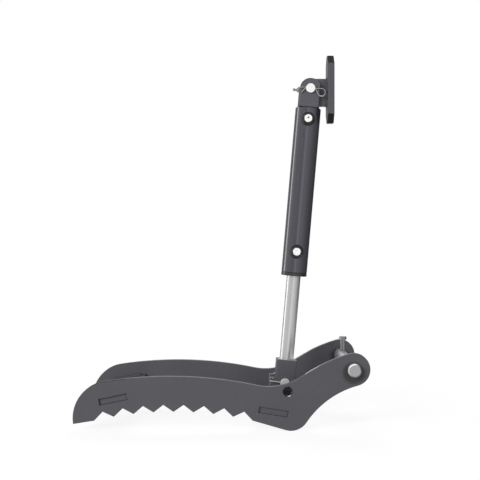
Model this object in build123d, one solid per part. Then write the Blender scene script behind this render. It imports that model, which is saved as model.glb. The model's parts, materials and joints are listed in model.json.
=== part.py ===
import os
from math import cos, degrees, radians, sin, sqrt

from build123d import *

# Excavator thumb: two toothed side plates on a base pin, with a hydraulic cylinder up to a weld-on pad.
# Millimetres. The origin is on the base pivot's axis, midway between the side plates.
# X runs from the tip (-X) to the base pivot, Y along the pins, Z up.
edge_search = 0.001

# Plates of the weldment
overall_width = 368.0
plate_thickness = 16.0
plate_edge_chamfer = 1.0
inner_half = overall_width / 2 - plate_thickness
outer_half = overall_width / 2

# Outline of a side plate, as circles and the teeth between them
lug_radius = 42.0
shoulder_radius = 418.0
shoulder_lean = 16.3
valley_radius = 153.0
back_radius = 1100.0
back_peak = (-472.5, -17.2)
nose_radius = 94.5
nose_lean = 8.75
tip_below_nose = 15.4
heel_radius = 48.4
heel_centre = (-161.5, -107.9)
heel_slope = 16.3
throat_radius = 232.0

# Teeth: points on an arc that bows up towards the back
tooth_count = 7
tooth_pitch = 51.1
tooth_depth = 18.0
bite_radius = 923.5
bite_peak = (-462.0, -107.7)

# Base pivot
base_pin_radius = 17.45
pin_running_gap = 0.08
base_pin_overhang = 22.0
base_pin_chamfer = 3.0
bolt_radius = 6.35
bolt_hole_gap = 0.3
bolt_place = 96.0
stick_boss_radius = 49.4
bolt_head_height = 8.6
bolt_head_flats = 19.05
bolt_tail = 4.0
nut_height = 11.5
thread_gap = 0.05

# Cylinder pins and where the cylinder stands
pin_radius = 12.7
pin_overhang = 10.5
pin_chamfer = 1.3
rod_pin_x = -169.4
rod_pin_z = -55.8
cylinder_tilt = 4.95
access_hole_gap = 0.4

# Cross plates with tabs into the side plates
cross_thickness = 16.0
front_cross_centre = (-616.5, -75.8)
front_cross_slope = 11.7
front_tab_length = 73.0
rear_cross_centre = (-206.4, -107.7)
rear_cross_slope = -8.9
rear_tab_length = 75.0
front_shoulder_length = 17.0
rear_shoulder_length = 9.0
tab_gap = 0.6
tab_recess = 7.0

# Tang on the rear cross plate, in the fork of the rod clevis
tang_thickness = 25.4
tang_radius = 27.0
tang_foot_front = 30.0
tang_foot_back = 15.0
fork_side_gap = 0.4

# Forked clevises
clevis_width = 56.4
clevis_edge_bevel = 4.0
rod_crotch_distance = 34.0
rod_clevis_height = 61.2
base_clevis_width = 57.2
base_crotch_distance = 47.7
base_clevis_height = 49.7
seat_chamfer = 1.0

# Rod, gland and barrel, measured along the cylinder from the rod pin
rod_radius = 19.05
rod_spigot_radius = 15.9
rod_spigot_gap = 0.15
rod_spigot_length = 22.0
rod_socket_end_gap = 1.0
barrel_radius = 34.925
bore_radius = 28.575
barrel_bottom = 291.0
barrel_top = 752.8
barrel_chamfer = 3.0
seam_chamfer = 1.5
gland_flange = 8.5
gland_chamfer = 1.0
gland_length = 60.0
gland_gap = 0.1
gland_notch_width = 7.0
gland_notch_depth = 3.0
gland_notch_count = 4
gland_notch_turn = 45.0
extend_travel = 90.0
end_cushion = 4.0
piston_length = 50.0
piston_gap = 0.1
piston_spigot_radius = 12.7
piston_nut_height = 20.0
piston_nut_flats = 38.1
end_plug_length = 18.8

# Seals: groove widths and the section of each ring
wiper_width = 6.0
wiper_section = 5.0
rod_seal_width = 8.0
rod_seal_section = 6.0
rod_seal_place = 18.0
gland_ring_width = 5.0
gland_ring_section = 4.0
gland_ring_place = 44.0
piston_seal_width = 8.0
piston_seal_section = 6.0
piston_seal_place = 12.0
wear_ring_width = 12.0
wear_ring_section = 2.5
wear_ring_place = 30.0
groove_gap = 0.15
seal_running_gap = 0.05

# Ports on the near side of the barrel
port_boss_radius = 15.0
port_boss_height = 12.0
port_boss_chamfer = 1.0
port_hole_radius = 7.0
port_passage_radius = 4.5
lower_port_inset = 66.6
upper_port_inset = 34.0
plug_head_radius = 10.5
plug_head_height = 3.0
plug_chamfer = 0.75
plug_stem_length = 10.0
plug_stem_gap = 0.1
plug_recess_radius = 2.5
plug_recess_depth = 1.2
saddle_gap = 0.1

# Split cotters: the eye, the bends and the legs from their tips to the pin or back
cotter_radius = 2.5
cotter_sides = 10
cotter_hole_gap = 0.3
cotter_inset = 6.0
cotter_loop_reach = 39.5
cotter_loop_top = 2.5
cotter_loop_bottom = -16.7
cotter_loop_flat = 13.0
cotter_loop_radius = 8.0
cotter_bend = 3.0
cotter_leg_gap = 0.1
cotter_lead = 1.5
rod_cotter_turn = 2.5
rod_upper_leg = ((-31.0, 12.0), (-44.0, 10.5), (-44.0, 0.6))
rod_lower_leg = ((-40.0, -0.6), (-43.5, -10.0))
base_cotter_turn = 3.0
base_upper_leg = ((-34.0, -3.7),)
base_lower_leg = ((-24.0, -14.5),)

# Grease fittings
rod_grease_place = 22.0
grease_hex_flats = 11.0
grease_hex_height = 6.0
grease_neck_radius = 3.2
grease_neck_height = 6.0
grease_head_radius = 4.2
grease_head_height = 5.6
grease_head_bevel = 1.9
button_radius = 3.6
button_height = 5.0
button_chamfer = 1.2

# Mounting pad and its lug
pad_height = 184.4
pad_width = 68.0
pad_thickness = 18.4
pad_corner = 23.6
pad_edge_chamfer = 1.5
pad_offset = 46.4
pad_lug_thickness = 25.4
pad_lug_radius = 28.6
pad_lug_drop = 45.3
pad_lug_step = 24.6


def towards(angle, length):
    """The point at a length from the origin, at an angle in degrees from +X."""
    return Vector(length * cos(radians(angle)), length * sin(radians(angle)))


def touch(inner, outer, inner_radius):
    """Where the circle round inner meets a circle round outer that it is tangent to."""
    return inner + (inner - outer).normalized() * inner_radius


def tangent_centre(first, first_reach, second, second_reach):
    """The centre at given distances from two points, on the left of the way from first to second."""
    span = second - first
    along = (first_reach**2 - second_reach**2 + span.length**2) / (2 * span.length)
    across = sqrt(first_reach**2 - along**2)
    direction = span.normalized()
    return first + direction * along + Vector(-direction.Y, direction.X) * across


def arc(start, centre, end):
    """The shorter arc from start to end round a centre."""
    middle = centre + ((start - centre) + (end - centre)).normalized() * (start - centre).length
    return ThreePointArc(start, middle, end)


def slab(sketch, low, high):
    """A plate with the sketch as its X-Z outline, from Y = low to Y = high."""
    return extrude(Plane.XZ.offset(-high) * sketch, high - low)


def rod_along_y(radius, low, high):
    """A round bar along Y."""
    return slab(Circle(radius), low, high)


def tube(outer, inner, low, high):
    """A ring or tube round Z."""
    return Pos(0, 0, low) * extrude(Circle(outer) - Circle(inner), high - low)


def bar(radius, low, high):
    """A round bar along Z."""
    return Pos(0, 0, low) * extrude(Circle(radius), high - low)


def hexagon(flats, low, high):
    """A hexagon along Z, across its flats."""
    return Pos(0, 0, low) * extrude(RegularPolygon(flats / 2, 6, major_radius=False), high - low)


def edges_at(shape, axis, *levels):
    """The edges of a shape that lie whole at one of the given places along an axis."""
    found = [
        shape.edges().filter_by_position(axis, level - edge_search, level + edge_search) for level in levels
    ]
    return [edge for group in found for edge in group]


# Side plate outline
def side_outline():
    origin = Vector(0, 0)
    heel = Vector(*heel_centre)
    back = Vector(back_peak[0], back_peak[1] - back_radius)
    shoulder = towards(90 + shoulder_lean, -(shoulder_radius - lug_radius))
    valley = tangent_centre(back, back_radius + valley_radius, shoulder, shoulder_radius + valley_radius)
    nose = back + towards(90 + nose_lean, back_radius - nose_radius)
    throat = tangent_centre(origin, lug_radius + throat_radius, heel, heel_radius + throat_radius)

    lug_top = touch(origin, shoulder, lug_radius)
    shoulder_end = touch(shoulder, valley, -shoulder_radius)
    valley_end = touch(back, valley, -back_radius)
    back_end = touch(nose, back, nose_radius)
    drop = tip_below_nose
    tip = nose + Vector(-sqrt(nose_radius**2 - drop**2), -drop)
    heel_start = heel + towards(-90 - heel_slope, heel_radius)
    heel_end = touch(heel, throat, -heel_radius)
    lug_bottom = touch(origin, throat, -lug_radius)

    bite = Vector(bite_peak[0], bite_peak[1] - bite_radius)
    half_count = (tooth_count + 1) / 2
    pitch_angle = degrees(tooth_pitch / bite_radius)
    steps = [index / 2 - half_count for index in range(4 * int(half_count) + 1)]
    teeth = [
        bite + towards(90 - step * pitch_angle, bite_radius + (0 if (step * 2) % 2 == 0 else tooth_depth))
        for step in steps
    ]
    lines = [
        arc(lug_top, shoulder, shoulder_end),
        arc(shoulder_end, valley, valley_end),
        arc(valley_end, back, back_end),
        arc(back_end, nose, tip),
        Polyline(tip, *teeth, heel_start),
        arc(heel_start, heel, heel_end),
        arc(heel_end, throat, lug_bottom),
        ThreePointArc(lug_bottom, Vector(lug_radius, 0), lug_top),
    ]
    return make_face(Curve() + lines)


def cross_profile(centre, slope, length, gap=0.0):
    """The X-Z section of a cross plate or of its slot."""
    return Pos(*centre) * Rot(0, 0, slope) * Rectangle(length + 2 * gap, cross_thickness + 2 * gap)


# Places that follow from the sizes above
rod_pin = Vector(rod_pin_x, rod_pin_z)
pin_to_pin = barrel_top + base_clevis_height
pad_pin = rod_pin + towards(90 - cylinder_tilt, pin_to_pin)
in_cylinder = Pos(rod_pin.X, 0, rod_pin.Y) * Rot(0, cylinder_tilt, 0)
at_pad = Pos(pad_pin.X, 0, pad_pin.Y)
at_top_pin = Pos(0, 0, pin_to_pin)
gland_top = barrel_bottom + gland_length
tube_bottom = barrel_bottom + gland_flange
piston_bottom = gland_top + extend_travel + end_cushion
piston_top = piston_bottom + piston_length
nut_top = piston_top + piston_nut_height
plug_bottom = barrel_top - end_plug_length
lower_port = barrel_bottom + lower_port_inset
upper_port = barrel_top - upper_port_inset
retract_travel = plug_bottom - nut_top - end_cushion
fork_half_gap = tang_thickness / 2 + fork_side_gap
pin_bore_radius = pin_radius + pin_running_gap


# Weldment
def side_plate(low, high):
    plate = slab(side_outline(), low, high)
    plate = chamfer(edges_at(plate, Axis.Y, low, high), plate_edge_chamfer)
    plate -= rod_along_y(base_pin_radius + pin_running_gap, low, high)
    plate -= Pos(rod_pin.X, 0, rod_pin.Y) * rod_along_y(pin_radius + access_hole_gap, low, high)
    plate -= slab(cross_profile(front_cross_centre, front_cross_slope, front_tab_length, tab_gap), low, high)
    plate -= slab(cross_profile(rear_cross_centre, rear_cross_slope, rear_tab_length, tab_gap), low, high)
    return plate


def cross_plate(centre, slope, tab_length, shoulder):
    """A plate between the side plates, with a tab through each of them."""
    tab_end = outer_half - tab_recess
    plate = slab(cross_profile(centre, slope, tab_length + 2 * shoulder), -inner_half, inner_half)
    return plate + slab(cross_profile(centre, slope, tab_length), -tab_end, tab_end)


def cylinder_tang():
    """An upright lug on the rear cross plate, round the rod clevis pin."""
    along = towards(rear_cross_slope, 1)
    upwards = Vector(-along.Y, along.X)
    centre = Vector(*rear_cross_centre)
    foot = centre + along * (rod_pin - centre).dot(along) + upwards * (cross_thickness / 2)
    front = foot - along * tang_foot_front
    back = foot + along * tang_foot_back
    outline = make_hull([*(Pos(*rod_pin) * Circle(tang_radius)).edges(), Line(front, back)])
    tang = slab(outline, -tang_thickness / 2, tang_thickness / 2)
    return tang - Pos(rod_pin.X, 0, rod_pin.Y) * rod_along_y(pin_bore_radius, -outer_half, outer_half)


# Base pivot
def base_pin():
    end = outer_half + base_pin_overhang
    pin = rod_along_y(base_pin_radius, -end, end)
    pin = chamfer(edges_at(pin, Axis.Y, -end, end), base_pin_chamfer)
    hole = bar(bolt_radius + bolt_hole_gap, -base_pin_radius, base_pin_radius)
    return pin - Pos(0, bolt_place, 0) * hole


def hex_with_cone(flats, low, high, cone_side):
    """A hexagon with its corners turned off on one side, down to a round as wide as its flats."""
    corner = flats / 2 / cos(radians(30))
    blank = bar(corner, low, high)
    rim = edges_at(blank, Axis.Z, high if cone_side > 0 else low)
    return hexagon(flats, low, high) & chamfer(rim, corner - flats / 2)


def lock_bolt():
    """A hexagon bolt through the stick's boss and the base pin."""
    head_top = stick_boss_radius + bolt_head_height
    tail = -stick_boss_radius - nut_height - bolt_tail
    head = hex_with_cone(bolt_head_flats, stick_boss_radius, head_top, 1)
    return Pos(0, bolt_place, 0) * (head + bar(bolt_radius, tail, stick_boss_radius))


def lock_nut():
    top = -stick_boss_radius
    nut = hex_with_cone(bolt_head_flats, top - nut_height, top, -1)
    return Pos(0, bolt_place, 0) * (nut - bar(bolt_radius + thread_gap, top - nut_height, top))


# Forked clevises, each about its own pin with the fork opening downwards
def clevis_blank(width, height, crotch):
    """A square block, rounded about the pin, with a slot and the pin's bore."""
    half = width / 2
    profile = Pos(0, height / 2) * Rectangle(width, height) + Circle(half)
    footprint = chamfer(Rectangle(width, width).vertices(), clevis_edge_bevel)
    post = Pos(0, 0, -half) * extrude(footprint, height + half)
    post = chamfer(edges_at(post, Axis.Z, height), seat_chamfer)
    block = slab(profile, -half, half) & post
    slot = Pos(0, 0, (crotch - half) / 2) * Box(width, 2 * fork_half_gap, crotch + half)
    return block - slot - rod_along_y(pin_bore_radius, -half, half)


def rod_clevis():
    socket_bottom = rod_clevis_height - rod_spigot_length
    socket = bar(rod_spigot_radius + rod_spigot_gap, socket_bottom, rod_clevis_height)
    return clevis_blank(clevis_width, rod_clevis_height, rod_crotch_distance) - socket


def base_clevis():
    """The upper fork, in one piece with the plug that closes the barrel."""
    fork = clevis_blank(base_clevis_width, base_clevis_height, base_crotch_distance)
    return at_top_pin * Rot(180, 0, 0) * fork + bar(bore_radius - gland_gap, plug_bottom, barrel_top)


def clevis_pin(width, turn):
    """A pin across a fork, with a hole for a split cotter near each end, turned about the pin."""
    end = width / 2 + pin_overhang
    pin = rod_along_y(pin_radius, -end, end)
    pin = chamfer(edges_at(pin, Axis.Y, -end, end), pin_chamfer)
    for side in (-1, 1):
        hole = Rot(0, turn + 90, 0) * bar(cotter_radius + cotter_hole_gap, -pin_radius, pin_radius)
        pin -= Pos(0, side * (end - cotter_inset), 0) * hole
    return pin


def cotter(place, turn, upper_leg, lower_leg):
    """A split cotter along X in the plane Y = place: an eye on +X and two bent legs on -X."""
    half = cotter_leg_gap / 2
    neck = pin_radius + cotter_lead
    eye = [
        (-neck, half),
        (neck, half),
        (cotter_loop_reach, cotter_loop_top),
        (cotter_loop_reach, cotter_loop_bottom),
        (cotter_loop_reach - cotter_loop_flat, cotter_loop_bottom),
        (neck, -half),
        (-neck, -half),
    ]
    upper_bends = [cotter_bend for point in upper_leg] + [cotter_bend]
    lower_bends = [cotter_bend for point in lower_leg] + [cotter_bend]
    radii = [*upper_bends, cotter_loop_radius, cotter_loop_radius, cotter_bend, *lower_bends]
    points = [Vector(x, 0, z) for x, z in [*upper_leg, *eye, *lower_leg]]
    route = FilletPolyline(*points, radius=radii)
    start = Plane(origin=route @ 0, x_dir=(0, 1, 0), z_dir=route % 0)
    outer_half_round = Pos(0, cotter_radius) * Rectangle(2 * cotter_radius, 2 * cotter_radius)
    section = start * (RegularPolygon(cotter_radius, cotter_sides) & outer_half_round)
    return Pos(0, place, 0) * Rot(0, turn, 0) * sweep(section, path=route)


def rod_cotter(place):
    return cotter(place, rod_cotter_turn, rod_upper_leg, rod_lower_leg)


def base_cotter(place):
    return cotter(place, base_cotter_turn, base_upper_leg, base_lower_leg)


# Rod side of the cylinder, upright on the rod pin
def groove_ring(outer, inner, low, width):
    """A square ring that fits a groove with a small gap at each side."""
    return tube(outer, inner, low + groove_gap, low + width - groove_gap)


def piston_rod():
    spigot_end = rod_clevis_height - rod_spigot_length + rod_socket_end_gap
    spigot = bar(rod_spigot_radius, spigot_end, rod_clevis_height)
    rod = spigot + bar(rod_radius, rod_clevis_height, piston_bottom)
    return rod + bar(piston_spigot_radius, piston_bottom, nut_top)


def piston():
    outer = bore_radius - piston_gap
    body = tube(outer, piston_spigot_radius + thread_gap, piston_bottom, piston_top)
    seal_low = piston_bottom + piston_seal_place
    wear_low = piston_bottom + wear_ring_place
    body -= tube(outer, outer - piston_seal_section, seal_low, seal_low + piston_seal_width)
    return body - tube(outer, outer - wear_ring_section, wear_low, wear_low + wear_ring_width)


def piston_ring(place, width, section):
    """A ring in one of the piston's grooves, proud of it to run on the bore."""
    groove_floor = bore_radius - piston_gap - section
    outer = bore_radius - seal_running_gap
    return groove_ring(outer, groove_floor + groove_gap, piston_bottom + place, width)


def piston_nut():
    return hex_with_cone(piston_nut_flats, piston_top, nut_top, 1) - bar(
        piston_spigot_radius + thread_gap, piston_top, nut_top
    )


# Barrel side of the cylinder
def gland():
    """The head that closes the barrel round the rod, with a flange on the barrel's end."""
    bore = rod_radius + gland_gap
    sleeve = bore_radius - gland_gap
    flange = bar(barrel_radius, barrel_bottom, tube_bottom)
    flange = chamfer(edges_at(flange, Axis.Z, barrel_bottom), gland_chamfer)
    body = flange + bar(sleeve, tube_bottom, gland_top) - bar(bore, barrel_bottom, gland_top)
    seal_low = barrel_bottom + rod_seal_place
    ring_low = barrel_bottom + gland_ring_place
    body -= bar(rod_radius + wiper_section, barrel_bottom, barrel_bottom + wiper_width)
    body -= bar(rod_radius + rod_seal_section, seal_low, seal_low + rod_seal_width)
    body -= tube(sleeve, sleeve - gland_ring_section, ring_low, ring_low + gland_ring_width)
    notch = Box(2 * gland_notch_depth, gland_notch_width, gland_flange)
    for index in range(gland_notch_count):
        turn = Rot(0, 0, index * 360 / gland_notch_count + gland_notch_turn)
        body -= turn * Pos(barrel_radius, 0, barrel_bottom) * notch
    return body


def gland_seal(place, width, section):
    """A ring in the gland that runs on the rod."""
    low = barrel_bottom + place
    return groove_ring(rod_radius + section - groove_gap, rod_radius + seal_running_gap, low, width)


def gland_ring():
    sleeve = bore_radius - gland_gap
    return groove_ring(
        bore_radius - groove_gap, sleeve - gland_ring_section + groove_gap, barrel_bottom + gland_ring_place,
        gland_ring_width,
    )


def towards_near(place):
    """A frame on the barrel's axis whose Z points out of the near side."""
    return Pos(0, 0, place) * Rot(90, 0, 0)


def barrel_tube():
    shell = bar(barrel_radius, tube_bottom, barrel_top)
    shell = chamfer(edges_at(shell, Axis.Z, barrel_top), barrel_chamfer)
    shell = chamfer(edges_at(shell, Axis.Z, tube_bottom), seam_chamfer)
    shell -= bar(bore_radius, tube_bottom, barrel_top)
    for place in (lower_port, upper_port):
        shell -= towards_near(place) * bar(port_passage_radius, 0, barrel_radius)
    return shell


def port_boss(place):
    """A round boss with a saddle on the barrel and a blind port, open to the barrel's wall."""
    top = barrel_radius + port_boss_height
    boss = chamfer(edges_at(bar(port_boss_radius, 0, top), Axis.Z, top), port_boss_chamfer)
    boss -= bar(port_hole_radius, 0, top)
    barrel = bar(barrel_radius + saddle_gap, place - port_boss_radius, place + port_boss_radius)
    return towards_near(place) * boss - barrel


def port_plug(place):
    """A push-in cap over the port's mouth."""
    face = barrel_radius + port_boss_height
    plug = bar(plug_head_radius, face, face + plug_head_height)
    plug = chamfer(edges_at(plug, Axis.Z, face + plug_head_height), plug_chamfer)
    plug += bar(port_hole_radius - plug_stem_gap, face - plug_stem_length, face)
    plug -= bar(plug_recess_radius, face + plug_head_height - plug_recess_depth, face + plug_head_height)
    return towards_near(place) * plug


# Grease fittings, pointing along +Z from their seat
def grease_fitting():
    """A hexagon base, a neck and a ball-shaped head."""
    neck_top = grease_hex_height + grease_neck_height
    head_top = neck_top + grease_head_height
    profile = make_face(
        Polyline(
            (0, 0),
            (grease_neck_radius, 0),
            (grease_neck_radius, neck_top),
            (grease_head_radius, neck_top + grease_head_bevel),
            (grease_head_radius, head_top - grease_head_bevel),
            (grease_neck_radius / 2, head_top),
            (0, head_top),
            (0, 0),
        )
    )
    return revolve(Plane.XZ * profile, Axis.Z) + hexagon(grease_hex_flats, 0, grease_hex_height)


def grease_button():
    """A low flush fitting."""
    return chamfer(edges_at(bar(button_radius, 0, button_height), Axis.Z, button_height), button_chamfer)


# Mounting pad, about the base clevis pin
def pad_plate():
    """A plate with its corners cut off, to be welded to the stick."""
    half_height = pad_height / 2
    half_width = pad_width / 2
    profile = chamfer(Rectangle(pad_width, pad_height).vertices(), pad_corner)
    plate = Pos(pad_offset, 0, 0) * extrude(Plane.YZ * profile, pad_thickness)
    return chamfer(edges_at(plate, Axis.X, pad_offset, pad_offset + pad_thickness), pad_edge_chamfer)


def pad_lug():
    """A lug round the pin, stepped down beside the fork to a tall weld on the plate."""
    neck = Pos(pad_lug_step / 2, 0) * Rectangle(pad_lug_step, 2 * pad_lug_radius)
    root_height = pad_lug_radius + pad_lug_drop
    root_width = pad_offset - pad_lug_step
    root_centre = Pos(pad_lug_step + root_width / 2, pad_lug_radius - root_height / 2)
    root = root_centre * Rectangle(root_width, root_height)
    outline = Circle(pad_lug_radius) + neck + root
    lug = slab(outline, -pad_lug_thickness / 2, pad_lug_thickness / 2)
    return lug - rod_along_y(pin_bore_radius, -pad_width, pad_width)


rod_cotter_place = clevis_width / 2 + pin_overhang - cotter_inset
base_cotter_place = base_clevis_width / 2 + pin_overhang - cotter_inset
leg_middle = (clevis_width / 2 + fork_half_gap) / 2

nodes = {
    "side_plate_near": side_plate(-outer_half, -inner_half),
    "side_plate_far": side_plate(inner_half, outer_half),
    "front_cross_plate": cross_plate(
        front_cross_centre, front_cross_slope, front_tab_length, front_shoulder_length
    ),
    "rear_cross_plate": cross_plate(
        rear_cross_centre, rear_cross_slope, rear_tab_length, rear_shoulder_length
    ),
    "cylinder_tang": cylinder_tang(),
    "base_pin": base_pin(),
    "lock_bolt": lock_bolt(),
    "lock_nut": lock_nut(),
    "rod_clevis": in_cylinder * rod_clevis(),
    "rod_clevis_pin": in_cylinder * clevis_pin(clevis_width, rod_cotter_turn),
    "rod_cotter_near": in_cylinder * rod_cotter(-rod_cotter_place),
    "rod_cotter_far": in_cylinder * rod_cotter(rod_cotter_place),
    "rod_grease_fitting": in_cylinder
    * Pos(-clevis_width / 2, -leg_middle, rod_grease_place)
    * Rot(0, -90, 0)
    * grease_button(),
    "piston_rod": in_cylinder * piston_rod(),
    "piston": in_cylinder * piston(),
    "piston_seal": in_cylinder * piston_ring(piston_seal_place, piston_seal_width, piston_seal_section),
    "piston_wear_ring": in_cylinder * piston_ring(wear_ring_place, wear_ring_width, wear_ring_section),
    "piston_nut": in_cylinder * piston_nut(),
    "barrel_tube": in_cylinder * barrel_tube(),
    "gland": in_cylinder * gland(),
    "rod_wiper": in_cylinder * gland_seal(0, wiper_width, wiper_section),
    "rod_seal": in_cylinder * gland_seal(rod_seal_place, rod_seal_width, rod_seal_section),
    "gland_ring": in_cylinder * gland_ring(),
    "lower_port_boss": in_cylinder * port_boss(lower_port),
    "upper_port_boss": in_cylinder * port_boss(upper_port),
    "lower_port_plug": in_cylinder * port_plug(lower_port),
    "upper_port_plug": in_cylinder * port_plug(upper_port),
    "base_clevis": in_cylinder * base_clevis(),
    "base_clevis_pin": in_cylinder * at_top_pin * clevis_pin(base_clevis_width, base_cotter_turn),
    "base_cotter_near": in_cylinder * at_top_pin * base_cotter(-base_cotter_place),
    "base_cotter_far": in_cylinder * at_top_pin * base_cotter(base_cotter_place),
    "base_grease_fitting": in_cylinder
    * at_top_pin
    * Pos(-base_clevis_width / 2, leg_middle, 0)
    * Rot(0, -90, 0)
    * grease_fitting(),
    "pad_plate": at_pad * pad_plate(),
    "pad_lug": at_pad * pad_lug(),
}

print("retract travel", round(retract_travel, 1))
os.makedirs("parts", exist_ok=True)
for name, shape in nodes.items():
    shape.label = name
    export_step(shape, f"parts/{name}.step")
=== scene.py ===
import json
from math import cos, pi, radians, sin, sqrt

import bmesh
import bpy
from mathutils import Matrix, Vector


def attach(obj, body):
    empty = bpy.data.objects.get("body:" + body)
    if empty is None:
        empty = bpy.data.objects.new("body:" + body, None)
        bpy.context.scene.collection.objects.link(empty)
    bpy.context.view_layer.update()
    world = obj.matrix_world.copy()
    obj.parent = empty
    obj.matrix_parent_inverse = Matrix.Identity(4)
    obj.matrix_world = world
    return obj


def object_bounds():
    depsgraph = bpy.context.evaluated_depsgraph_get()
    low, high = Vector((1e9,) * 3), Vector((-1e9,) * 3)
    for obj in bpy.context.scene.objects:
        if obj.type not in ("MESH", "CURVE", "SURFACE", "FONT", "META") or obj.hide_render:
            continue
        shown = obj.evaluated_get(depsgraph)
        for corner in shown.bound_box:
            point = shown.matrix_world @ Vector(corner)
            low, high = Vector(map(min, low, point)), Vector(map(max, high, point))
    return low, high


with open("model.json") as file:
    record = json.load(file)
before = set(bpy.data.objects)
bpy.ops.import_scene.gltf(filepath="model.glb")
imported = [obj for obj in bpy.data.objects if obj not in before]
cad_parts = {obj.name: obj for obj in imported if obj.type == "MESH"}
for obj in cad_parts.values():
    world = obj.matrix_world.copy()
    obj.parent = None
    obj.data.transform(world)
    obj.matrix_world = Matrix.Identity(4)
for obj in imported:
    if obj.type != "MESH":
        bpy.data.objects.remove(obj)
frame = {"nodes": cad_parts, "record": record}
cad_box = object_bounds()
scene = bpy.context.scene
scene.view_settings.view_transform = "Standard"

# Sizes that the welds and finishes share with the source, in metres
plate_inside = 0.168
cross_thickness = 0.016
# Each cross plate: x and z of its middle, slope in degrees, length
front_cross = (-0.6165, -0.0758, 11.7, 0.085)
rear_cross = (-0.2064, -0.1077, -8.9, 0.093)
tang_half = 0.0127
# Where the tang's foot starts and ends along the rear cross plate, from the rod pin
tang_foot = (-0.030, 0.015)
rod_pin = Vector((-0.1694, 0, -0.0558))
cylinder_tilt = radians(4.95)
cylinder_axis = Vector((sin(cylinder_tilt), 0, cos(cylinder_tilt)))
# How far along the cylinder from the rod pin
pin_distance = 0.8025
lower_port = 0.3576
upper_port = 0.7188
pad_pin = rod_pin + cylinder_axis * pin_distance
barrel_radius = 0.034925
port_boss_radius = 0.015
# From the pad's pin to the pad, and to the top and bottom of the pad's lug
pad_inside = 0.0464
pad_lug_top = 0.0286
pad_lug_drop = 0.0453
bolt_place = Vector((0, 0.096, 0))
thread_pitch = 0.00195
thread_top = -0.030


# Camera, as the photograph was taken
def photo_camera():
    data = bpy.data.cameras.new("photo_camera")
    data.lens = 73.8
    data.sensor_width = 36.0
    camera = bpy.data.objects.new("photo_camera", data)
    camera.location = (-0.2917, -2.7, 0.332)
    camera.rotation_euler = (radians(90), 0, 0)
    scene.collection.objects.link(camera)
    scene.camera = camera


# Shader nodes, written as expressions
class Channel:
    """A number or colour that varies over a surface: one socket of a node tree."""

    def __init__(self, nodes, socket):
        self.nodes = nodes
        self.socket = socket

    def maths(self, operation, first, second):
        return self.nodes.add("ShaderNodeMath", {"operation": operation}, {0: first, 1: second})

    def __add__(self, other):
        return self.maths("ADD", self, other)

    def __radd__(self, other):
        return self.maths("ADD", other, self)

    def __sub__(self, other):
        return self.maths("SUBTRACT", self, other)

    def __rsub__(self, other):
        return self.maths("SUBTRACT", other, self)

    def __mul__(self, other):
        return self.maths("MULTIPLY", self, other)

    def __rmul__(self, other):
        return self.maths("MULTIPLY", other, self)

    def __pow__(self, other):
        return self.maths("POWER", self, other)

    def __rpow__(self, other):
        return self.maths("POWER", other, self)

    def larger(self, other):
        return self.maths("MAXIMUM", self, other)


class Nodes:
    """The nodes of one material or of the world."""

    def __init__(self, owner):
        owner.use_nodes = True
        self.tree = owner.node_tree
        self.tree.nodes.clear()

    def add(self, kind, settings=None, inputs=None, output=0):
        """A node with its settings and inputs, as a channel from one of its outputs."""
        node = self.tree.nodes.new(kind)
        for name, value in (settings or {}).items():
            if name == "stops":
                self.set_stops(node.color_ramp, value)
            else:
                setattr(node, name, value)
        for name, value in (inputs or {}).items():
            socket = node.inputs[name]
            if isinstance(value, Channel):
                self.tree.links.new(value.socket, socket)
            else:
                socket.default_value = value
        return Channel(self, node.outputs[output] if len(node.outputs) else None)

    def set_stops(self, ramp, stops):
        while len(ramp.elements) < len(stops):
            ramp.elements.new(1.0)
        for element, (place, colour) in zip(ramp.elements, stops):
            element.position = place
            element.color = colour

    def place(self, centre=(0, 0, 0), turn=(0, 0, 0), stretch=(1, 1, 1)):
        """Object coordinates about a centre, turned and stretched."""
        coordinates = self.add("ShaderNodeTexCoord", output="Object")
        moved = self.add(
            "ShaderNodeVectorMath", {"operation": "SUBTRACT"}, {0: coordinates, 1: tuple(centre)}
        )
        return self.add(
            "ShaderNodeMapping",
            {"vector_type": "POINT"},
            {"Vector": moved, "Rotation": turn, "Scale": stretch},
        )

    def parts(self, vector):
        return [self.add("ShaderNodeSeparateXYZ", inputs={0: vector}, output=axis) for axis in range(3)]

    def facing(self):
        """How far the surface faces along x, y and z, from -1 to 1."""
        return self.parts(self.add("ShaderNodeTexCoord", output="Normal"))

    def noise(self, size, detail=2.0, place=None, roughness=0.5):
        """Cloudy variation from 0 to 1, with patches of about the given size in metres."""
        return self.add(
            "ShaderNodeTexNoise",
            inputs={
                "Vector": place or self.place(),
                "Scale": 1 / size,
                "Detail": detail,
                "Roughness": roughness,
            },
        )

    def step(self, value, low, high):
        """0 below low and 1 above high, smooth between them."""
        return self.add(
            "ShaderNodeMapRange",
            {"interpolation_type": "SMOOTHSTEP"},
            {"Value": value, "From Min": low, "From Max": high},
        )

    def fade(self, value, low, high):
        """1 below low and 0 above high, smooth between them."""
        return 1 - self.step(value, low, high)

    def blend(self, factor, first, second):
        """A colour that goes from first to second."""
        return self.add(
            "ShaderNodeMix",
            {"data_type": "RGBA"},
            {"Factor": factor, 6: first, 7: second},
            output=2,
        )

    def bump(self, height, depth):
        return self.add("ShaderNodeBump", inputs={"Height": height, "Distance": depth, "Strength": 1.0})


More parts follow.
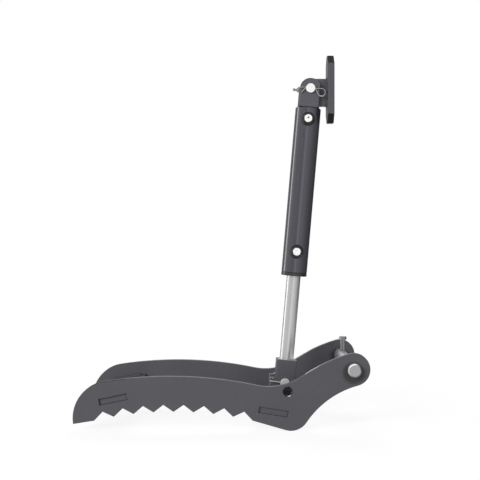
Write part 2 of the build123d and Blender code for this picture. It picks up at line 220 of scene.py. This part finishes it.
class Finish(Nodes):
    """A material for one kind of surface."""

    def __init__(self, name):
        self.material = bpy.data.materials.new(name)
        super().__init__(self.material)

    def edges(self, radius):
        """1 where a surface bends sharply within the radius, 0 on flat ground."""
        rounded = self.add("ShaderNodeBevel", {"samples": 6}, {"Radius": radius})
        flat = self.add("ShaderNodeNewGeometry", output="Normal")
        along = self.add(
            "ShaderNodeVectorMath", {"operation": "DOT_PRODUCT"}, {0: rounded, 1: flat}, output=1
        )
        return self.step(1 - along, 0.01, 0.14)

    def surface(self, inputs):
        shader = self.add("ShaderNodeBsdfPrincipled", inputs=inputs)
        self.add("ShaderNodeOutputMaterial", inputs={"Surface": shader})
        return self.material


def grey(level):
    return (level, level, level, 1)


def tinted(colour, share=1.0):
    """A colour made darker or paler, and opaque."""
    return tuple(min(1, share * part) for part in colour) + (1,)


def distance(first, second):
    return (first * first + second * second) ** 0.5


def paint(name, colour, edge_colour, roughness, peel, marks=None, coat=0.0, coat_ior=1.5, ior=1.45):
    """Sprayed or powder coated paint: orange peel, faint clouds, dust, and thinner, paler edges.

    Marks is what use has left on one kind of piece, together with any painted light and shade: it changes
    the colour and the height of the surface.
    """
    f = Finish(name)
    clouds = f.noise(0.11, 3.0)
    mottle = f.noise(0.012, 4.0, roughness=0.6)
    height = f.noise(0.0016, 2.0)
    dust = f.step(f.noise(0.004, 5.0, roughness=0.7), 0.62, 0.78)
    wear = f.edges(0.0012) * (0.45 + 0.55 * f.step(f.noise(0.006, 3.0), 0.35, 0.6))
    shade = f.blend(0.6 * clouds + 0.4 * mottle, tinted(colour, 0.84), tinted(colour, 1.16))
    dusted = f.blend(dust * 0.10, shade, tinted(colour, 1.9))
    tone = f.blend(wear * 0.8, dusted, tinted(edge_colour))
    if marks:
        tone, height = marks(f, tone, height)
    return f.surface(
        {
            "Base Color": tone,
            "Roughness": roughness - 0.06 + 0.10 * mottle + 0.05 * dust + 0.06 * wear,
            "Coat Weight": coat,
            "Coat Roughness": 0.13,
            "Coat IOR": coat_ior,
            "IOR": ior,
            "Normal": f.bump(height, peel),
        }
    )


def plate_marks(f, tone, height):
    """The flame-cut rim of a side plate with painted highlight and shade on it, the bore and slots with
    painted shade and a painted glint, and a painted shadow round the base pin.
    """
    across, side, upright = f.facing()
    rim = f.fade(side * side, 0.3, 0.7)

    # The rim: painted highlight where it faces up behind the nose, and painted shade where it faces up at
    # the nose, less of it in the slot of the front tab
    x, y, z = f.parts(f.place())
    behind_nose = f.step(x, -0.6, -0.56)
    tone = f.blend(rim * f.step(upright, 0.3, 0.9) * behind_nose * 0.45, tone, tinted(plate_edge))
    slot_x, slot_z, slope, length = front_cross
    from_slot = f.place((slot_x, 0, slot_z), turn=(0, radians(slope), 0))
    along_slot, aside, above_slot = f.parts(from_slot)
    in_slot = f.fade(along_slot * along_slot, 0.0022, 0.0026) * f.fade(above_slot, 0.004, 0.012)
    nose_rim = (1 - behind_nose) * (1 - 0.8 * in_slot)
    tone = f.blend(f.step(upright, 0.05, 0.3) * nose_rim * 0.95, tone, grey(0.004))

    # The bore behind the rod pin: painted shade, with a painted glint at the back of its floor
    x, y, z = f.parts(f.place(rod_pin))
    bore = rim * f.fade(distance(x, z), 0.0138, 0.0145)
    tone = f.blend(bore * 0.95, tone, grey(0.003))
    bore_glint = f.step(0.3 * x - z, 0.0125, 0.0135) * f.step(x, -0.002, 0.001)
    tone = f.blend(bore * bore_glint, tone, grey(0.75))

    # A painted highlight on the upward rim of a stretch of the shoulder
    painted_glint = f.step(x, 0.042, 0.05) * f.fade(x, 0.075, 0.085) * f.step(z, 0.02, 0.03)
    tone = f.blend(rim * painted_glint * f.step(upright, 0.5, 0.8), tone, grey(0.36))

    # A painted shadow round the base pin, centred a little below and left of it, with a ragged edge
    x, y, z = f.parts(f.place((-0.001, 0, -0.009)))
    pin_shadow_reach = distance(x, z) + 0.004 * (f.noise(0.012, 3.0) - 0.5)
    tone = f.blend(f.fade(pin_shadow_reach, 0.021, 0.034) * 0.75, tone, grey(0.012))

    drag_lines = f.noise(0.0013, 3.0, f.place(stretch=(1, 0.03, 1)), 0.6)
    return tone, height + rim * drag_lines * 3.0


def clevis_marks(f, tone, height):
    """Painted shade low on the rod's clevis, below the rod pin, and bare steel round the rod, where it was
    masked.
    """
    # Painted shade below the rod pin
    x, y, z = f.parts(f.place(rod_pin))
    tone = f.blend(f.fade(z, -0.021, -0.012) * f.step(z, -0.05, -0.045) * 0.9, tone, grey(0.006))
    x, y, z = f.parts(f.place(rod_pin, turn=(0, -cylinder_tilt, 0)))
    across, side, upright = f.facing()
    masked = f.fade(distance(x, y), 0.022, 0.0235) * f.step(upright, 0.6, 0.9) * f.fade(z, 0.09, 0.1)
    return f.blend(masked, tone, grey(0.6)), height


def shade_above_below(share):
    """Painted shade on a plate's faces that look up or down, darkest on those that look down."""

    def marks(f, tone, height):
        across, side, upright = f.facing()
        # Painted shade, darker on faces that look down than on those that look up
        above_below_shade = f.blend(f.step(upright, 0.0, 0.1), grey(0.002), grey(0.018))
        return f.blend(f.step(upright * upright, 0.2, 0.45) * share, tone, above_below_shade), height

    return marks


def bare_steel(
    name, colour, roughness=0.3, turned_about=None, spots=0.15, metallic=1.0,
    dull_ends=0.0, painted_shade_below=0.0, thread=False, nylon=False,
):
    """Plated or ground steel: fine tool marks, faint stains and dull spots."""
    f = Finish(name)
    stain = f.noise(0.009, 4.0, roughness=0.6)
    specks = f.step(f.noise(0.0018, 3.0), 0.58, 0.75)
    marks = f.noise(0.0011, 3.0, roughness=0.65)
    if turned_about:
        x, y, z = f.parts(f.place(turned_about))
        rings = f.add(
            "ShaderNodeTexNoise",
            {"noise_dimensions": "1D"},
            {"W": distance(x, z), "Scale": 1500.0, "Detail": 3.0},
        )
        marks = 0.4 * marks + 0.6 * rings
    if thread:
        x, y, z = f.parts(f.place(bolt_place))
        angle = z * (2 * pi / thread_pitch)
        turns = angle.maths("SINE", angle, 0)
        marks = marks + 14 * turns * f.fade(z, thread_top - 0.001, thread_top)
    pale = f.blend(stain, tinted(colour, 0.86), tinted(colour, 1.08))
    tone = f.blend(specks * spots, pale, tinted(colour, 0.45))
    # Painted shade on the lower part of the pin's end
    if painted_shade_below:
        x, y, z = f.parts(f.place(turned_about))
        tone = f.blend(f.fade(z, -0.009, -0.005) * painted_shade_below, tone, grey(0.01))
    if dull_ends:
        # A sawn end, duller than the shaft, with painted shade on the lower and right-hand side of its
        # chamfer and a painted highlight at its top left
        across, side, upright = f.facing()
        tone = f.blend(f.step(side * side, 0.8, 0.95) * dull_ends, tone, grey(0.1))
        chamfer = f.step(side * side, 0.3, 0.45) * f.fade(side * side, 0.6, 0.75)
        tone = f.blend(chamfer * f.fade(upright - across, -0.5, 0.6) * 0.85, tone, grey(0.1))
        painted_glint = chamfer * f.step(upright - 0.4 * across, 0.55, 0.7)
        tone = f.blend(painted_glint, tone, grey(0.95))
        metallic = metallic - 0.6 * painted_glint
    if nylon:
        # The ring in the bottom of a lock nut
        x, y, z = f.parts(f.place(bolt_place))
        across, side, upright = f.facing()
        ring = f.fade(distance(x, y), 0.0082, 0.0085) * f.fade(upright, -0.97, -0.9)
        tone = f.blend(ring, tone, (0.35, 0.42, 0.5, 1))
        metallic = 1 - ring
    return f.surface(
        {
            "Base Color": tone,
            "Metallic": metallic,
            "Roughness": roughness - 0.05 + 0.12 * stain + 0.08 * marks,
            "Normal": f.bump(marks, 0.00002),
        }
    )


def hard_chrome(name):
    """A polished rod: nearly a mirror, with a haze of oil and faint grinding marks round it."""
    f = Finish(name)
    haze = f.noise(0.03, 3.0)
    round_rod = f.place(turn=(0, -cylinder_tilt, 0), stretch=(0.05, 0.05, 1))
    marks = f.noise(0.0009, 3.0, round_rod, 0.6)
    return f.surface(
        {
            "Base Color": f.blend(haze, (0.56, 0.565, 0.57, 1), (0.64, 0.64, 0.635, 1)),
            "Metallic": 0.84,
            "Roughness": 0.26 + 0.04 * haze + 0.04 * marks,
            "Normal": f.bump(marks, 0.000004),
        }
    )


def moulded(name, colour, roughness, fleck=0.06, dark_spot=None):
    """Moulded plastic or rubber: fine texture, slight shade changes, rubbed edges and a dark spot round a
    given point.
    """
    f = Finish(name)
    cloud = f.noise(0.008, 3.0)
    grain = f.noise(0.0007, 2.0)
    shade = f.blend(0.6 * cloud + 0.4 * grain, tinted(colour, 1 - fleck), tinted(colour, 1 + fleck))
    tone = f.blend(f.edges(0.0006) * 0.35, shade, tinted(colour, 1.12))
    if dark_spot:
        # A dark spot in the middle of the plug
        x, y, z = f.parts(f.place(dark_spot))
        tone = f.blend(f.fade(distance(x, z), 0.0016, 0.0032), tone, grey(0.03))
    return f.surface(
        {
            "Base Color": tone,
            "Roughness": roughness + 0.08 * cloud,
            "Normal": f.bump(grain, 0.00002),
        }
    )


photo_camera()

# Finishes
plate_colour = (0.0705, 0.0695, 0.079)
plate_edge = (0.13, 0.13, 0.142)
thin_edge = (0.10, 0.10, 0.11)
zinc_colour = (0.42, 0.425, 0.43)
white = (0.86, 0.86, 0.855)
dark_spot_place = rod_pin + cylinder_axis * (upper_port + 0.002)

plate_paint = paint("painted_plate", plate_colour, plate_edge, 0.46, 0.00006, plate_marks)
clevis_paint = paint("painted_clevis", (0.074, 0.073, 0.083), thin_edge, 0.42, 0.00005, clevis_marks)
cross_paint = paint("cross_plate_paint", plate_colour, thin_edge, 0.46, 0.00006, shade_above_below(0.3))
pad_paint = paint("pad_paint", (0.0745, 0.0735, 0.083), thin_edge, 0.46, 0.00006, shade_above_below(1.0), ior=1.32)
barrel_paint = paint(
    "painted_barrel", (0.023, 0.022, 0.0355), (0.05, 0.05, 0.06), 0.3, 0.00001,
    coat=0.9, coat_ior=1.82, ior=1.3,
)
port_paint = paint("port_paint", (0.014, 0.014, 0.017), (0.02, 0.02, 0.024), 0.4, 0.00002)
gland_paint = paint("gland_paint", (0.019, 0.019, 0.022), (0.09, 0.09, 0.10), 0.3, 0.00002, coat=0.4)
chrome = hard_chrome("chrome_rod")
ground_steel = bare_steel(
    "bright_steel", (0.68, 0.69, 0.68), turned_about=(0, 0, 0), metallic=0.85, dull_ends=0.5
)
rod_pin_steel = bare_steel(
    "rod_pin_steel", (0.78, 0.78, 0.775), turned_about=rod_pin, metallic=0.6, painted_shade_below=0.95
)
pad_pin_steel = bare_steel("pad_pin_steel", (0.93, 0.93, 0.925), 0.38, pad_pin, spots=0.05, metallic=0.6)
turned_steel = bare_steel("machined_steel", (0.58, 0.58, 0.58))
zinc = bare_steel("zinc_steel", zinc_colour)
bolt_steel = bare_steel("bolt_steel", (0.31, 0.31, 0.305), thread=True)
nut_steel = bare_steel("nut_steel", zinc_colour, nylon=True)
drawn_wire = bare_steel("wire", (0.62, 0.62, 0.61))
rubber = moulded("seal_rubber", (0.022, 0.022, 0.024), 0.6)
wear_plastic = moulded("wear_plastic", (0.25, 0.22, 0.18), 0.5)
white_plastic = moulded("white_plastic", white, 0.42, 0.03)
dark_spotted_plastic = moulded("dark_spotted_plastic", white, 0.42, 0.03, dark_spot_place)

finish_of = {
    "painted_plate": plate_paint,
    "painted_clevis": clevis_paint,
    "painted_barrel": barrel_paint,
    "bright_steel": ground_steel,
    "machined_steel": turned_steel,
    "zinc_steel": zinc,
    "wire": drawn_wire,
    "chrome_rod": chrome,
    "seal_rubber": rubber,
    "wear_plastic": wear_plastic,
    "white_plastic": white_plastic,
}
own_finish = {
    "lock_bolt": bolt_steel,
    "lock_nut": nut_steel,
    "front_cross_plate": cross_paint,
    "rear_cross_plate": cross_paint,
    "pad_plate": pad_paint,
    "lower_port_boss": port_paint,
    "upper_port_boss": port_paint,
    "gland": gland_paint,
    "rod_clevis_pin": rod_pin_steel,
    "base_clevis_pin": pad_pin_steel,
    "upper_port_plug": dark_spotted_plastic,
}


def dress_nodes():
    """Each node in its own finish, or else in that of its material slot."""
    for subpart in frame["record"]["subparts"]:
        name = subpart["node"]
        node = frame["nodes"][name]
        node.data.materials.clear()
        node.data.materials.append(own_finish.get(name, finish_of[subpart["material_slot"]]))


dress_nodes()


# Weld beads: a fillet drawn along stations, rippled as it was laid
def station(point, leg_a, leg_b, along, size):
    """A frame at a point of the joint, with the two legs of the fillet as its X and Y."""
    turn = Matrix((leg_a * size, leg_b * size, along)).transposed().to_4x4()
    return Matrix.Translation(point) @ turn


def bead(mesh, stations, leg, pitch, closed=False):
    """One bead of weld metal in a corner."""
    sunk = -0.0004
    bulge = 0.55 * leg
    section = [
        (sunk, sunk, 0),
        (leg, sunk, 0),
        (0.80 * leg, 0.27 * leg, 0.2 * pitch),
        (bulge, bulge, 0.45 * pitch),
        (0.27 * leg, 0.80 * leg, 0.2 * pitch),
        (sunk, leg, 0),
    ]
    verts = [mesh.verts.new(stations[0] @ Vector(point)) for point in section]
    edges = [mesh.edges.new((verts[i - 1], verts[i])) for i in range(len(verts))]
    first = edges
    for before, after in zip(stations, stations[1:]):
        made = bmesh.ops.extrude_edge_only(mesh, edges=edges)["geom"]
        verts = [part for part in made if isinstance(part, bmesh.types.BMVert)]
        edges = [
            part
            for part in made
            if isinstance(part, bmesh.types.BMEdge) and all(v in verts for v in part.verts)
        ]
        bmesh.ops.transform(mesh, matrix=after @ before.inverted(), verts=verts)
    if not closed:
        bmesh.ops.edgeloop_fill(mesh, edges=first)
        bmesh.ops.edgeloop_fill(mesh, edges=edges)


# How large a bead is at each station of one ripple
ripple = (0.92, 1.05, 1.02)


def straight_bead(mesh, start, end, leg_a, leg_b, leg=0.006, pitch=0.0032):
    along = (end - start).normalized()
    count = int((end - start).length / pitch * len(ripple))
    stations = [
        station(start + along * (pitch / len(ripple) * i), leg_a, leg_b, along, ripple[i % len(ripple)])
        for i in range(count)
    ]
    bead(mesh, stations, leg, pitch)


def finished(name, mesh, body, finish):
    """A mesh as a piece that rides on its body."""
    bmesh.ops.remove_doubles(mesh, verts=mesh.verts, dist=0.00001)
    bmesh.ops.recalc_face_normals(mesh, faces=mesh.faces)
    data = bpy.data.meshes.new(name)
    mesh.to_mesh(data)
    mesh.free()
    data.materials.append(finish)
    for polygon in data.polygons:
        polygon.use_smooth = True
    piece = bpy.data.objects.new(name, data)
    scene.collection.objects.link(piece)
    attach(piece, body)


side_to_side = Vector((0, 1, 0))
# A bead across the foot of a lug runs this far past each side of it
past_corner = 0.002


def cross_plate_frame(cross):
    """The middle of a cross plate, and the ways along its slope and up from it."""
    x, z, slope, length = cross
    along = Vector((cos(radians(slope)), 0, sin(radians(slope))))
    return Vector((x, 0, z)), along, Vector((-along.z, 0, along.x))


def cross_plate_welds(name, cross):
    """Beads inside both side plates, above and below a cross plate."""
    middle, along, up = cross_plate_frame(cross)
    reach = along * (cross[3] / 2 - 0.003)
    mesh = bmesh.new()
    for side in (-1, 1):
        for face in (-1, 1):
            corner = middle + side_to_side * (side * plate_inside) + up * (face * cross_thickness / 2)
            straight_bead(mesh, corner - reach, corner + reach, side_to_side * -side, up * face)
    finished(name, mesh, "thumb_frame", cross_paint)


def tang_welds():
    """Beads along both sides of the tang's foot and across its ends."""
    middle, along, up = cross_plate_frame(rear_cross)
    foot = middle + along * (rod_pin - middle).dot(along) + up * (cross_thickness / 2)
    front, back = (foot + along * end for end in tang_foot)
    mesh = bmesh.new()
    for side in (-1, 1):
        edge = side_to_side * (side * tang_half)
        straight_bead(mesh, front + edge, back + edge, side_to_side * side, up)
    across = side_to_side * (tang_half + past_corner)
    straight_bead(mesh, front - across, front + across, along * -1, up)
    straight_bead(mesh, back - across, back + across, along, up)
    finished("tang_welds", mesh, "thumb_frame", plate_paint)


def pad_lug_welds():
    """Beads round the foot of the pad's lug."""
    out = Vector((1, 0, 0))
    up = Vector((0, 0, 1))
    face = pad_pin + out * pad_inside
    top, bottom = face + up * pad_lug_top, face - up * pad_lug_drop
    mesh = bmesh.new()
    for side in (-1, 1):
        edge = side_to_side * (side * tang_half)
        straight_bead(mesh, bottom + edge, top + edge, side_to_side * side, out * -1)
    across = side_to_side * (tang_half + past_corner)
    for corner, way in ((top, 1), (bottom, -1)):
        straight_bead(mesh, corner - across, corner + across, up * way, out * -1, leg=0.003)
    finished("pad_lug_welds", mesh, "pad_end", plate_paint)


def port_weld(name, place):
    """A bead round a port boss, down on the barrel's curve."""
    centre = rod_pin + cylinder_axis * place
    out = Vector((0, -1, 0))
    across = cylinder_axis.cross(out)
    ripples = 34
    count = ripples * len(ripple)
    stations = []
    for index in range(count + 1):
        turn = 2 * pi * index / count
        radial = cylinder_axis * cos(turn) + across * sin(turn)
        aside = port_boss_radius * sin(turn)
        height = sqrt(barrel_radius**2 - aside**2)
        point = centre + radial * port_boss_radius + out * height
        barrel_out = (out * height + across * aside).normalized()
        along = (across * cos(turn) - cylinder_axis * sin(turn)).normalized()
        down_slope = along.cross(barrel_out)
        if down_slope.dot(radial) < 0:
            down_slope = -down_slope
        stations.append(station(point, down_slope, out, along, ripple[index % len(ripple)]))
    mesh = bmesh.new()
    bead(mesh, stations, leg=0.0042, pitch=0.0028, closed=True)
    finished(name, mesh, "barrel_end", port_paint)


cross_plate_welds("front_cross_plate_welds", front_cross)
cross_plate_welds("rear_cross_plate_welds", rear_cross)
tang_welds()
pad_lug_welds()
port_weld("lower_port_weld", lower_port)
port_weld("upper_port_weld", upper_port)

# Floor, world and lamps
stage_middle = -0.33


def seen_ray(nodes):
    """1 for what the camera sees, straight or in metal and glass."""
    camera, glossy, transmission = (
        nodes.add("ShaderNodeLightPath", output=kind)
        for kind in ("Is Camera Ray", "Is Glossy Ray", "Is Transmission Ray")
    )
    return camera.larger(glossy).larger(transmission)


def studio_floor():
    """A pale floor that keeps a faint shadow near the object and ends in plain white."""
    mesh = bmesh.new()
    bmesh.ops.create_grid(mesh, x_segments=1, y_segments=1, size=1.2)
    bmesh.ops.translate(mesh, verts=mesh.verts, vec=(stage_middle, 0, cad_box[0][2] - 0.0005))
    data = bpy.data.meshes.new("floor")
    mesh.to_mesh(data)
    mesh.free()
    floor = bpy.data.objects.new("floor", data)
    scene.collection.objects.link(floor)
    f = Finish("pale_floor")
    x, y, z = f.parts(f.place((stage_middle, 0, 0)))
    near = f.fade(distance(x, y), 0.45, 1.15)
    matt_share = 0.12
    glow = f.add(
        "ShaderNodeEmission",
        inputs={"Color": grey(1.0), "Strength": seen_ray(f) * (1 - near * matt_share * 0.95)},
    )
    matt = f.add("ShaderNodeBsdfDiffuse", inputs={"Color": f.blend(near, grey(0.0), grey(matt_share))})
    both = f.add("ShaderNodeAddShader", inputs={0: glow, 1: matt})
    f.add("ShaderNodeOutputMaterial", inputs={"Surface": both})
    data.materials.append(f.material)


def studio_world():
    """White behind the object, soft boxes and dark flags in what metal shows, and an even soft light."""
    world = bpy.data.worlds.new("studio")
    scene.world = world
    n = Nodes(world)
    x, y, z = n.parts(n.add("ShaderNodeTexCoord", output="Generated"))
    azimuth = x.maths("ARCTAN2", x, y * -1) * (0.5 / pi) + 0.5
    # Places round the object, as shares of a turn, and how bright it is there
    boxes = [
        (0.00, 1.0), (0.03, 1.0), (0.07, 0.32), (0.15, 0.36), (0.185, 0.5), (0.192, 3.5), (0.223, 3.5),
        (0.233, 0.8), (0.27, 0.9), (0.333, 0.74), (0.384, 0.70), (0.44, 0.6), (0.475, 0.72),
        (0.497, 1.2), (0.513, 1.2), (0.545, 0.8), (0.61, 0.72), (0.667, 0.54), (0.722, 0.38),
        (0.788, 0.24), (0.85, 0.12), (0.88, 0.08), (0.905, 0.03), (0.955, 0.03), (0.98, 1.0), (1.0, 1.0),
    ]
    brightest = 8.0
    stops = [(place, grey(level / brightest)) for place, level in boxes]
    round_about = n.add("ShaderNodeValToRGB", {"stops": stops}, {"Fac": azimuth})
    shown = n.blend(n.step(z, 0.45, 0.8), round_about, grey(0.5 / brightest))
    glossy = n.add("ShaderNodeLightPath", output="Is Glossy Ray")
    camera = n.add("ShaderNodeLightPath", output="Is Camera Ray")
    transmission = n.add("ShaderNodeLightPath", output="Is Transmission Ray")
    soft, white_behind, mirrored = (
        n.add("ShaderNodeBackground", inputs={"Color": colour, "Strength": strength})
        for colour, strength in ((grey(1.0), 0.3), (grey(1.0), 1.0), (shown, brightest))
    )
    lit = n.add("ShaderNodeMixShader", inputs={0: glossy, 1: soft, 2: mirrored})
    seen = n.add("ShaderNodeMixShader", inputs={0: camera.larger(transmission), 1: lit, 2: white_behind})
    n.add("ShaderNodeOutputWorld", inputs={"Surface": seen})


def soft_lamp(name, place, target_height, power):
    """A square lamp that is turned to the object and shows in nothing."""
    data = bpy.data.lights.new(name, "AREA")
    data.shape = "SQUARE"
    data.size = 1.6
    data.energy = power
    lamp = bpy.data.objects.new(name, data)
    lamp.location = place
    to_target = Vector((stage_middle, 0, target_height)) - Vector(place)
    lamp.rotation_euler = to_target.to_track_quat("-Z", "Y").to_euler()
    lamp.visible_camera = False
    lamp.visible_glossy = False
    scene.collection.objects.link(lamp)


studio_floor()
studio_world()
soft_lamp("key_lamp", (-2.3, -3.2, 1.5), 0.3, 143)
soft_lamp("fill_lamp", (1.8, -3.0, 0.9), 0.3, 30)
soft_lamp("back_lamp", (-0.2, 2.6, 2.4), 0.2, 60)
